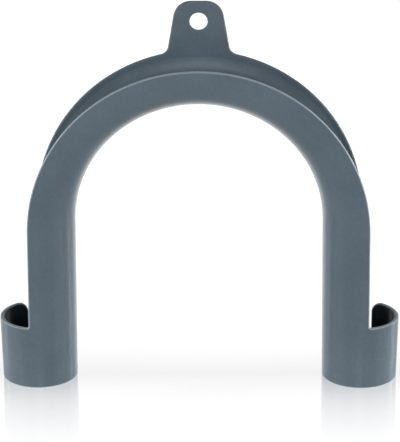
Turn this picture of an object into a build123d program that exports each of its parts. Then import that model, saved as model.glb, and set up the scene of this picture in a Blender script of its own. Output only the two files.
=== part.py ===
"""Drain hose holder: a half-round gutter bent into an upside-down U, moulded in one piece.

The hose lies in the gutter, over the arch. It snaps into an open clip at each foot, and the
holder hangs from the flat tab at the top of its back wall.

Millimetres. +Z is up and +Y points at the wall. The origin is on the floor between the feet,
on the centre line of the gutter.
"""
import os
from math import radians, tan

from build123d import *

# Path of the gutter
bend_radius = 70.0  # centre line of the arch, and half the distance between the legs
leg_height = 71.95  # from the floor to the start of the arch

# Gutter section
arch_depth = 16.6  # outside, from the centre line to the front and the back
foot_depth = 15.9  # the same at the floor: the legs are drafted
inward_bulge = 0.65  # how much further than that it reaches towards the other leg
wall = 1.4
back_flat = 0.1  # how much of the back is flattened to lie against the wall

# Clips at the feet
clip_height = 28.0
clip_overrun = 2.0  # how far above its rim the clip's round form runs on behind the lip
clip_depth = 16.2  # outside, at the top of its round form
clip_reach = 16.5  # and there outwards from the leg's centre line
bore_radius = 14.5  # straight bore for the hose
gap_width = 5.3  # between the edge of the back wall and the clip's free end
free_end_radius = 5.0  # rounded upper corner of the clip's free end

# Lips of the gutter, measured outwards from its centre line
front_lip_at_clip = 2.9
front_lip_at_bend = 2.4
front_lip_at_top = 1.3
back_lip_at_bend = 0.3
back_lip_at_top = 0.8

# Hanging tab
tab_rise = 22.3  # from the top of the arch's centre line
tab_top_width = 19.0  # between the sloping sides, at the top
tab_side_angle = 9.8  # of each side, from upright
tab_corner_radius = 7.5
tab_base_radius = 4.2
hole_depth = 8.85  # from the top of the tab down to the middle of the hole
hole_diameter = 7.6

# Broken edges of the moulding
lip_bevel = 0.4
hole_bevel = 0.3
least_sharp_angle = 30.0

# Room beyond the part for the cutting shapes, which begin inside the empty gutter
spare = 5.0

arch_reach = arch_depth + inward_bulge
inner_reach = arch_reach - wall
inner_depth = arch_depth - wall
arch_top = leg_height + bend_radius
tab_top = arch_top + tab_rise
round_height = clip_height + clip_overrun
far_top = tab_top + spare
far_side = far_top - leg_height + spare
bend_axis = Axis((0, 0, leg_height), (0, -1, 0))


def flatten_back(depth):
    """Flatten the back of the section that is being drawn, to lie against the wall."""
    with Locations((bend_radius, depth - back_flat)):
        Rectangle(2 * depth, depth, align=(Align.CENTER, Align.MIN), mode=Mode.SUBTRACT)


def leg_section(height, inwards, outwards, depth):
    """Section of the right leg, by its reach to each side of the centre line and its depth."""
    with BuildSketch(Plane.XY.offset(height)) as section:
        with BuildLine():
            EllipticalCenterArc((bend_radius, 0), inwards, depth, start_angle=90, arc_size=180)
            EllipticalCenterArc((bend_radius, 0), outwards, depth, start_angle=-90, arc_size=180)
        make_face()
        flatten_back(depth)
    return section.sketch


def bore_section(height):
    """Section of the right clip's bore for the hose."""
    with BuildSketch(Plane.XY.offset(height)) as section:
        with BuildLine():
            CenterArc((bend_radius, 0), bore_radius, 90, 180)
            CenterArc((bend_radius, 0), bore_radius, -90, 180)
        make_face()
        flatten_back(bore_radius)
    return section.sketch


def arch_section(reach, depth):
    """Section of the arch at the top of the right leg, with flat stock behind for the tab."""
    with BuildSketch(Plane.XY.offset(leg_height)) as section:
        with Locations((bend_radius, 0)):
            Ellipse(reach, depth)
        flatten_back(depth)
        with Locations((bend_radius, depth - back_flat)):
            Rectangle(far_top - arch_top, depth, align=(Align.MIN, Align.MAX))
    return section.sketch


def gutter_outline(foot_height, lip_at_foot, lip_at_bend, lip_at_top):
    """The arch and the legs down to the given height, seen from the front, out to one lip."""
    foot_side = bend_radius + lip_at_foot
    bend_side = bend_radius + lip_at_bend
    with BuildSketch() as outline:
        with BuildLine():
            arch = ThreePointArc(
                (-bend_side, leg_height),
                (0, arch_top + lip_at_top),
                (bend_side, leg_height),
            )
            Polyline(arch @ 1, (foot_side, foot_height), (-foot_side, foot_height), arch @ 0)
        make_face()
    return outline.sketch


def back_outline():
    """The back wall with its tab, seen from the front."""
    with BuildSketch() as outline:
        add(gutter_outline(-spare, back_lip_at_bend, back_lip_at_bend, back_lip_at_top))
        tab_height = tab_top - arch_top + spare
        with Locations((0, arch_top - spare)):
            Trapezoid(
                tab_top_width + 2 * tab_height * tan(radians(tab_side_angle)),
                tab_height,
                90 - tab_side_angle,
                align=(Align.CENTER, Align.MIN),
            )
        fillet(outline.vertices().group_by(Axis.Y)[-2], tab_base_radius)
        fillet(outline.vertices().group_by(Axis.Y)[-1], tab_corner_radius)
    return outline.sketch


def is_bevelled(edge, faces):
    """Whether two faces meet at a clear angle along the edge, off the plane of symmetry.

    The lower end of the bore's narrow flat stays sharp.
    """
    middle = edge.position_at(0.5)
    from_leg = Vector(middle.X - bend_radius, middle.Y).length
    ends_flat = middle.Z < lip_bevel and from_leg < bore_radius - back_flat / 2
    if ends_flat or edge.bounding_box().max.X < lip_bevel:
        return False
    normals = [face.normal_at(middle) for face in faces if edge in face.edges()]
    return normals[0].get_angle(normals[-1]) > least_sharp_angle


# Blank: the right half as a closed tube, with stock for the tab
with BuildPart() as hose_holder:
    leg_outside = [
        leg_section(0, foot_depth + inward_bulge, foot_depth, foot_depth),
        leg_section(round_height, clip_depth + inward_bulge, clip_reach, clip_depth),
        leg_section(leg_height, arch_reach, arch_reach, arch_depth),
    ]
    loft(leg_outside, ruled=True)
    revolve(arch_section(arch_reach, arch_depth), axis=bend_axis, revolution_arc=90)

    extrude(bore_section(0), amount=round_height, mode=Mode.SUBTRACT)
    leg_inside = [
        bore_section(round_height),
        leg_section(leg_height, inner_reach, inner_reach, inner_depth),
    ]
    loft(leg_inside, ruled=True, mode=Mode.SUBTRACT)
    revolve(arch_section(inner_reach, inner_depth), axis=bend_axis, revolution_arc=90, mode=Mode.SUBTRACT)

    # Front: all that lies outside the front lip is cut away, down to the rim of the clip
    with BuildSketch(Plane.XZ.offset(-spare)) as front_waste:
        with Locations((-spare, clip_height)):
            Rectangle(far_side, far_top - clip_height, align=Align.MIN)
        add(
            gutter_outline(clip_height, front_lip_at_clip, front_lip_at_bend, front_lip_at_top),
            mode=Mode.SUBTRACT,
        )
    extrude(amount=far_side, mode=Mode.SUBTRACT)

    # Back: all that lies outside the back lip and the tab, and the gap of the clip
    with BuildSketch(Plane.XZ.offset(spare)) as back_waste:
        with Locations((-spare, -spare)):
            Rectangle(far_side, far_top + spare, align=Align.MIN)
        add(back_outline(), mode=Mode.SUBTRACT)
        with Locations((bend_radius + back_lip_at_bend + gap_width, -spare)):
            Rectangle(far_side, clip_height + spare, align=Align.MIN, mode=Mode.SUBTRACT)
        rim_height = back_waste.vertices().filter_by_position(Axis.Y, clip_height - 1, clip_height + 1)
        fillet(rim_height.sort_by(Axis.X)[0], free_end_radius)
    extrude(amount=-far_side, mode=Mode.SUBTRACT)

    # The moulded edges are broken, and the other half is the mirror image
    faces = hose_holder.faces()
    chamfer([edge for edge in hose_holder.edges() if is_bevelled(edge, faces)], lip_bevel)
    mirror(about=Plane.YZ)

    with Locations(Plane.XZ * Location((0, tab_top - hole_depth))):
        Hole(hole_diameter / 2)
    chamfer(hose_holder.edges(Select.LAST).filter_by(GeomType.CIRCLE), hole_bevel)

hose_holder.part.label = "hose_holder"
os.makedirs("parts", exist_ok=True)
export_step(hose_holder.part, "parts/hose_holder.step")
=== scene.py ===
"""Looks of the drain hose holder: slate grey moulded plastic on a white, slightly glossy floor.

Metres, in the frame of the CAD part: +Z is up, and the holder's front faces -Y.
"""

from math import radians

import bpy
from mathutils import Matrix, Vector


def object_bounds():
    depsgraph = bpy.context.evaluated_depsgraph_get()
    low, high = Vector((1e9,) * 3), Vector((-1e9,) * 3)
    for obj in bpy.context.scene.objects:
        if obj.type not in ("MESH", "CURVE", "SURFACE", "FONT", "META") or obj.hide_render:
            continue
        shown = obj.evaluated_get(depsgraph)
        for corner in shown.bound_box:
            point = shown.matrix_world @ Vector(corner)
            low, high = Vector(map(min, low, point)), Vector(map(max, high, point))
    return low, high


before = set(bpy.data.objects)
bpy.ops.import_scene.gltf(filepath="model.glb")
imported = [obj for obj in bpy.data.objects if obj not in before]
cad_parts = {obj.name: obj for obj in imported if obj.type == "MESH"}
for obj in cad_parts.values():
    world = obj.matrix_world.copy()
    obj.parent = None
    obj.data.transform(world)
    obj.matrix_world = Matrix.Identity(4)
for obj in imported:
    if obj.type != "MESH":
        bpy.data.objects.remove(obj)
cad_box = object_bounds()

# Places on the holder that its colours and gloss follow
LIP_FRONT = -0.0143  # the front lips lie before this depth
CLIP_RIM = 0.029  # the clips and their rims lie below this height
ARCH_START = 0.072  # the legs end and the arch begins at this height
SHADE_TOP = 0.165  # the shade inside the holder weakens up to this height, just above the tab
BLEND = 0.0004  # over which a colour gives way to the next at such a place

# Colours, in linear light
PLASTIC = (0.107, 0.146, 0.177)
PLASTIC_DARK = (0.085, 0.118, 0.146)
# The pale edge colour is a little wear, and mostly a painted highlight
PALE_EDGE_AND_HIGHLIGHT = (0.30, 0.36, 0.40)
# The recess colour is painted shade, near black
PAINTED_RECESS_SHADE = (0.001, 0.003, 0.004)

# Texture of the plastic: scales in waves a metre, and the range that most of a noise lies in
CLOUD_SCALE = 45.0
CLOUD_RANGE = (0.35, 0.65)
CLOUD_SHARE = 0.6  # of the blend between the two greys; the specks make the rest
SPECK_SCALE = 650.0
GLOSS_SCALE = 160.0
NOISE_RANGE = (0.3, 0.7)
WAVE_SCALE = 70.0
WAVE_DEPTH = 0.0002
WAVE_STRENGTH = 0.015
GRAIN_SCALE = 2600.0
GRAIN_DEPTH = 0.00002
GRAIN_STRENGTH = 0.2

# Gloss of the plastic
PLASTIC_ROUGHNESS = 0.32
ROUGHNESS_SPREAD = 0.03
PLASTIC_FINISH = {
    "IOR": 1.49,
    "Specular IOR Level": 0.25,
    "Sheen Weight": 0.5,
    "Sheen Roughness": 0.15,
    "Coat IOR": 3.0,
    "Coat Roughness": 0.12,
}
SLANT_RANGE = (0.55, 0.8)  # of the inner side, from face on (0) to edge on (1)
SLANT_GLOSS = 0.55  # weight of the coat at the far end of that range
INWARD_RANGE = (0.0, -0.4)  # cosine with the way outwards, where the inner side begins and is full

# Edges: the light sees them rounded, and they are painted paler than the rest: a little wear all
# round, and a painted highlight along the front lips, the rims and the feet's bevels
EDGE_RADIUS = 0.0006
EDGE_SAMPLES = 6
WEAR_AND_HIGHLIGHT_TURN = (0.985, 0.93)  # cosine of the turn that the rounding makes, where the wear and the painted highlight begin and are full
WEAR_AND_HIGHLIGHT_DEPTHS = (LIP_FRONT + 0.003, LIP_FRONT + 0.002)
WEAR_AND_HIGHLIGHT_SHARES = (0.12, 0.7)  # of the pale colour, behind and before those depths: wear behind, and wear with a painted highlight along the front lips before
LIP_FACING = (-0.85, -0.75)  # Y of the normal, from the round front, which gets no painted highlight, to the lips
RIM_SLOPE = (0.5, 0.6)  # size of the normal's Z, from the walls to the rims, the feet and their bevels
RIM_HIGHLIGHT_SHARE = 0.8  # of the pale colour, as a painted highlight on those

# Shade inside the gutter and the clips, where the walls close off the light
SHADE_REACH = 0.03
SHADE_SAMPLES = 8
SHADE_RANGE = (0.75, 0.4)  # share of open directions, from no shade to full shade
SHADE_AT_TOP = 0.3  # what is left of the shade at its top

# Floor
FLOOR_SIZE = 12.0
FLOOR_GAP = 0.00005  # between the feet and the floor
FLOOR_WHITE = 0.65  # how much light it throws back onto the holder
FLOOR_SHADE = 0.30  # how white it is in the light, on top of its glow, where it is seen
FLOOR_GLOW = 1.0
MIRROR = 0.72  # share of the mirror image, right under the holder
MIRROR_HALVING = 0.029  # the share halves with each such distance, before or behind

# Studio light
HORIZON_LIGHT = 0.64
ZENITH_LIGHT = 0.02
SKY_RANGE = (0.25, 0.5)  # sine of the height angle, from horizon light to zenith light
HOLDER_MIDDLE = (0.0, 0.0, 0.08)
LEFT_LEG = (-0.08, 0.0, 0.06)
RIGHT_LEG = (0.08, 0.0, 0.06)

# Camera, as fitted to the photograph: it aims at a point midway between the legs
CAMERA_DISTANCE = 1.0
CAMERA_HEIGHT_ANGLE = radians(21.237)
CAMERA_TURN = radians(-0.753)
CAMERA_ROLL = radians(-0.247)
AIM_POINT = Vector((0.000455, 0.0, 0.071366))
SENSOR = 36.0  # millimetres, over the photograph's height
PHOTO_HEIGHT = 442  # pixels
FOCAL_PIXELS = 2340.0


def empty_tree(owner):
    """The cleared node tree of a new material or world."""
    owner.use_nodes = True
    owner.node_tree.nodes.clear()
    return owner.node_tree


def link_all(tree, sockets, sources):
    """Feed each socket from its source, a socket or a plain number."""
    for socket, source in zip(sockets, sources):
        if isinstance(source, float):
            socket.default_value = source
        else:
            tree.links.new(source, socket)


def calculate(tree, operation, first, second=0.0):
    """One step of arithmetic on two values, each a socket or a plain number."""
    node = tree.nodes.new("ShaderNodeMath")
    node.operation = operation
    link_all(tree, node.inputs, (first, second))
    return node.outputs["Value"]


def remap(tree, value, old_range, new_range=(0.0, 1.0)):
    """The value moved from one range to another, and held inside it."""
    node = tree.nodes.new("ShaderNodeMapRange")
    tree.links.new(value, node.inputs["Value"])
    node.inputs["From Min"].default_value, node.inputs["From Max"].default_value = old_range
    node.inputs["To Min"].default_value, node.inputs["To Max"].default_value = new_range
    return node.outputs["Result"]


def split(tree, vector):
    """The vector's X, Y and Z."""
    node = tree.nodes.new("ShaderNodeSeparateXYZ")
    tree.links.new(vector, node.inputs["Vector"])
    return node.outputs


def cosine(tree, first, second):
    """Cosine of the angle between two directions."""
    node = tree.nodes.new("ShaderNodeVectorMath")
    node.operation = "DOT_PRODUCT"
    link_all(tree, node.inputs, (first, second))
    return node.outputs["Value"]


def position(tree):
    """Where the shaded point lies, in the object's own coordinates."""
    return tree.nodes.new("ShaderNodeTexCoord").outputs["Object"]


def true_normal(tree):
    """Which way the surface faces, without its relief."""
    return tree.nodes.new("ShaderNodeNewGeometry").outputs["Normal"]


def seen_ray(tree):
    """1 for rays from the camera, straight or off a gloss, and 0 for light that spreads."""
    path = tree.nodes.new("ShaderNodeLightPath")
    return calculate(tree, "MAXIMUM", path.outputs["Is Camera Ray"], path.outputs["Is Glossy Ray"])


def noise(tree, scale, detail=2.0):
    """A noise texture that is fixed to the object."""
    node = tree.nodes.new("ShaderNodeTexNoise")
    node.inputs["Scale"].default_value = scale
    node.inputs["Detail"].default_value = detail
    tree.links.new(position(tree), node.inputs["Vector"])
    return node.outputs["Fac"]


def bump(tree, height, depth, strength, normal):
    """Surface relief of the given depth, on top of another relief."""
    node = tree.nodes.new("ShaderNodeBump")
    node.inputs["Distance"].default_value = depth
    node.inputs["Strength"].default_value = strength
    tree.links.new(height, node.inputs["Height"])
    tree.links.new(normal, node.inputs["Normal"])
    return node.outputs["Normal"]


def mix_colours(tree, factor, first, second):
    """A blend of two colours, each a socket or plain numbers."""
    node = tree.nodes.new("ShaderNodeMix")
    node.data_type = "RGBA"
    tree.links.new(factor, node.inputs["Factor"])
    colour_inputs = [socket for socket in node.inputs if socket.type == "RGBA"]
    for socket, colour in zip(colour_inputs, (first, second)):
        if isinstance(colour, tuple):
            socket.default_value = (*colour, 1.0)
        else:
            tree.links.new(colour, socket)
    return next(socket for socket in node.outputs if socket.type == "RGBA")


def mix_shaders(tree, factor, first, second):
    """A blend of two shaders."""
    node = tree.nodes.new("ShaderNodeMixShader")
    link_all(tree, node.inputs, (factor, first, second))
    return node.outputs["Shader"]


def matt_white(tree, whiteness):
    """A matt shader between black and white."""
    node = tree.nodes.new("ShaderNodeBsdfDiffuse")
    node.inputs["Color"].default_value = (whiteness, whiteness, whiteness, 1.0)
    return node.outputs["BSDF"]


def rounded_normal(tree):
    """Which way the surface faces, with its edges rounded."""
    node = tree.nodes.new("ShaderNodeBevel")
    node.samples = EDGE_SAMPLES
    node.inputs["Radius"].default_value = EDGE_RADIUS
    return node.outputs["Normal"]


def worn_and_highlit_edges(tree):
    """How pale the edges are painted: a little wear all round, and a painted highlight along the front
    lips.
    """
    beside = remap(tree, cosine(tree, true_normal(tree), rounded_normal(tree)), WEAR_AND_HIGHLIGHT_TURN)
    share = remap(tree, split(tree, position(tree))["Y"], WEAR_AND_HIGHLIGHT_DEPTHS, WEAR_AND_HIGHLIGHT_SHARES)
    return calculate(tree, "MULTIPLY", beside, share)


def painted_edge_highlights(tree):
    """Painted highlight on the faces of the front lips and on the bevels of the rims and the feet."""
    place = split(tree, position(tree))
    facing = split(tree, true_normal(tree))
    at_front = remap(tree, place["Y"], (LIP_FRONT, LIP_FRONT - BLEND))
    lip = calculate(tree, "MULTIPLY", at_front, remap(tree, facing["Y"], LIP_FACING))
    at_clip = remap(tree, place["Z"], (CLIP_RIM + BLEND, CLIP_RIM))
    slope = calculate(tree, "ABSOLUTE", facing["Z"])
    rim = calculate(tree, "MULTIPLY", at_clip, remap(tree, slope, RIM_SLOPE, (0.0, RIM_HIGHLIGHT_SHARE)))
    return calculate(tree, "MAXIMUM", lip, rim)


def recess_shade(tree):
    """How much painted shade the walls inside the gutter and the clips get, most of all in the clips.
    """
    openness = tree.nodes.new("ShaderNodeAmbientOcclusion")
    openness.only_local = True
    openness.samples = SHADE_SAMPLES
    openness.inputs["Distance"].default_value = SHADE_REACH
    closed = remap(tree, openness.outputs["AO"], SHADE_RANGE)
    height = split(tree, position(tree))["Z"]
    share = remap(tree, height, (CLIP_RIM, SHADE_TOP), (1.0, SHADE_AT_TOP))
    return calculate(tree, "MULTIPLY", closed, share)


def inner_side(tree):
    """How much a point faces the opening between the legs.

    The way outwards is sideways at the legs, and away from the arch's centre above them.
    """
    place = split(tree, position(tree))
    above_legs = calculate(tree, "MAXIMUM", calculate(tree, "SUBTRACT", place["Z"], ARCH_START), 0.0)
    outwards = tree.nodes.new("ShaderNodeCombineXYZ")
    tree.links.new(place["X"], outwards.inputs["X"])
    tree.links.new(above_legs, outwards.inputs["Z"])
    direction = tree.nodes.new("ShaderNodeVectorMath")
    direction.operation = "NORMALIZE"
    tree.links.new(outwards.outputs["Vector"], direction.inputs[0])
    turn = cosine(tree, direction.outputs["Vector"], true_normal(tree))
    return remap(tree, turn, INWARD_RANGE)


def plastic_colour(tree):
    """Two clouded and speckled greys, with wear and painted highlights at the edges and painted shade
    in the recesses.
    """
    clouds = remap(tree, noise(tree, CLOUD_SCALE, detail=3.0), CLOUD_RANGE, (0.0, CLOUD_SHARE))
    specks = remap(tree, noise(tree, SPECK_SCALE), NOISE_RANGE, (0.0, 1.0 - CLOUD_SHARE))
    grey = mix_colours(tree, calculate(tree, "ADD", clouds, specks), PLASTIC_DARK, PLASTIC)
    # Painted highlights on the lips, rims and feet, with a little wear on all edges
    pale = calculate(tree, "MAXIMUM", painted_edge_highlights(tree), worn_and_highlit_edges(tree))
    # The recesses get painted shade
    return mix_colours(tree, recess_shade(tree), mix_colours(tree, pale, grey, PALE_EDGE_AND_HIGHLIGHT), PAINTED_RECESS_SHADE)


def plastic_relief(tree):
    """Rounded edges, faintly wavy walls and a fine moulded grain."""
    waves = bump(tree, noise(tree, WAVE_SCALE), WAVE_DEPTH, WAVE_STRENGTH, rounded_normal(tree))
    return bump(tree, noise(tree, GRAIN_SCALE), GRAIN_DEPTH, GRAIN_STRENGTH, waves)


def slant_gloss(tree):
    """Gloss where the inner side is seen at a slant, as a coat that the recesses don't have."""
    slant = tree.nodes.new("ShaderNodeLayerWeight").outputs["Facing"]
    gloss = remap(tree, slant, SLANT_RANGE, (0.0, SLANT_GLOSS))
    inner_gloss = calculate(tree, "MULTIPLY", gloss, inner_side(tree))
    in_the_open = calculate(tree, "SUBTRACT", 1.0, recess_shade(tree))
    return calculate(tree, "MULTIPLY", inner_gloss, in_the_open)


def moulded_plastic():
    """Slate grey polypropylene with a soft sheen."""
    material = bpy.data.materials.new("moulded_plastic")
    tree = empty_tree(material)
    surface = tree.nodes.new("ShaderNodeBsdfPrincipled")
    for setting, value in PLASTIC_FINISH.items():
        surface.inputs[setting].default_value = value
    spread = (-ROUGHNESS_SPREAD, ROUGHNESS_SPREAD)
    patches = remap(tree, noise(tree, GLOSS_SCALE), NOISE_RANGE, spread)
    roughness = calculate(tree, "ADD", patches, PLASTIC_ROUGHNESS)
    tree.links.new(roughness, surface.inputs["Roughness"])
    tree.links.new(plastic_colour(tree), surface.inputs["Base Color"])
    tree.links.new(plastic_relief(tree), surface.inputs["Normal"])
    tree.links.new(slant_gloss(tree), surface.inputs["Coat Weight"])
    output = tree.nodes.new("ShaderNodeOutputMaterial")
    tree.links.new(surface.outputs["BSDF"], output.inputs["Surface"])
    return material


def mirror_share(tree):
    """How much the floor mirrors, less and less with the distance along Y from the holder."""
    distance = calculate(tree, "ABSOLUTE", split(tree, position(tree))["Y"])
    steps = calculate(tree, "DIVIDE", distance, MIRROR_HALVING)
    return calculate(tree, "MULTIPLY", calculate(tree, "POWER", 0.5, steps), MIRROR)


def glossy_floor():
    """White floor that keeps the holder's shadow, and mirrors the holder close to it."""
    material = bpy.data.materials.new("glossy_floor")
    tree = empty_tree(material)
    glow = tree.nodes.new("ShaderNodeEmission")
    glow.inputs["Strength"].default_value = FLOOR_GLOW
    white = tree.nodes.new("ShaderNodeAddShader")
    link_all(tree, white.inputs, (matt_white(tree, FLOOR_SHADE), glow.outputs["Emission"]))
    base = mix_shaders(tree, seen_ray(tree), matt_white(tree, FLOOR_WHITE), white.outputs["Shader"])

    mirror = tree.nodes.new("ShaderNodeBsdfGlossy")
    mirror.inputs["Color"].default_value = (1.0, 1.0, 1.0, 1.0)
    mirror.inputs["Roughness"].default_value = 0.0
    surface = mix_shaders(tree, mirror_share(tree), base, mirror.outputs["BSDF"])
    output = tree.nodes.new("ShaderNodeOutputMaterial")
    tree.links.new(surface, output.inputs["Surface"])
    return material


def add_floor():
    """A wide floor under the feet."""
    height = cad_box[0][2] - FLOOR_GAP
    bpy.ops.mesh.primitive_plane_add(size=FLOOR_SIZE, location=(0.0, 0.0, height))
    floor = bpy.context.object
    floor.name = "floor"
    floor.data.materials.append(glossy_floor())


def add_world():
    """White where it is seen; as a lamp, bright round the horizon and dim overhead."""
    world = bpy.data.worlds.new("studio")
    tree = empty_tree(world)
    direction = tree.nodes.new("ShaderNodeTexCoord").outputs["Generated"]
    height = split(tree, direction)["Z"]
    light = remap(tree, height, SKY_RANGE, (HORIZON_LIGHT, ZENITH_LIGHT))
    background = tree.nodes.new("ShaderNodeBackground")
    strength = calculate(tree, "MAXIMUM", light, seen_ray(tree))
    tree.links.new(strength, background.inputs["Strength"])
    output = tree.nodes.new("ShaderNodeOutputWorld")
    tree.links.new(background.outputs["Background"], output.inputs["Surface"])
    bpy.context.scene.world = world


def add_softbox(name, place, size, power, aim=HOLDER_MIDDLE):
    """A rectangular lamp that faces the holder, or one of its legs; the power is in watts."""
    lamp = bpy.data.lights.new(name, "AREA")
    lamp.shape = "RECTANGLE"
    lamp.size, lamp.size_y = size
    lamp.energy = power
    softbox = bpy.data.objects.new(name, lamp)
    softbox.location = place
    direction = Vector(aim) - Vector(place)
    softbox.rotation_euler = direction.to_track_quat("-Z", "Y").to_euler()
    bpy.context.collection.objects.link(softbox)


def add_lamps():
    """One lamp before the holder and three at each side, of which the strip stands behind it."""
    add_softbox("front", place=(0.0, -1.5, 0.65), size=(0.6, 0.5), power=5.5)
    add_softbox("near_left", place=(-0.82, -0.55, 0.2), size=(0.25, 0.4), power=3.0, aim=LEFT_LEG)
    add_softbox("near_right", place=(0.82, -0.55, 0.2), size=(0.25, 0.4), power=2.8, aim=RIGHT_LEG)
    add_softbox("left", place=(-1.4, -0.3, 0.3), size=(0.8, 0.6), power=5.0)
    add_softbox("right", place=(1.4, -0.1, 0.3), size=(0.8, 0.6), power=5.0)
    add_softbox("left_strip", place=(-1.4, 0.56, 0.3), size=(0.16, 0.6), power=5.0)
    add_softbox("right_strip", place=(1.4, 0.56, 0.3), size=(0.16, 0.6), power=9.7)


def add_camera():
    """The photograph's viewpoint: from above the arch, looking down at the legs."""
    turn = Matrix.Rotation(-CAMERA_TURN, 4, "Z")
    tilt = Matrix.Rotation(radians(90) - CAMERA_HEIGHT_ANGLE, 4, "X")
    roll = Matrix.Rotation(CAMERA_ROLL, 4, "Z")
    back = Matrix.Translation((0.0, 0.0, CAMERA_DISTANCE))
    camera_data = bpy.data.cameras.new("camera")
    camera_data.sensor_width = SENSOR
    camera_data.lens = FOCAL_PIXELS / PHOTO_HEIGHT * SENSOR
    camera = bpy.data.objects.new("camera", camera_data)
    camera.matrix_world = Matrix.Translation(AIM_POINT) @ turn @ tilt @ roll @ back
    bpy.context.collection.objects.link(camera)
    bpy.context.scene.camera = camera


def dress_holder():
    """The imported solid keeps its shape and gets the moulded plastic."""
    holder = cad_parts["hose_holder"]
    plastic = moulded_plastic()
    for slot in holder.material_slots:
        slot.material = plastic


dress_holder()
add_floor()
add_world()
add_lamps()
add_camera()
bpy.context.scene.view_settings.view_transform = "Standard"
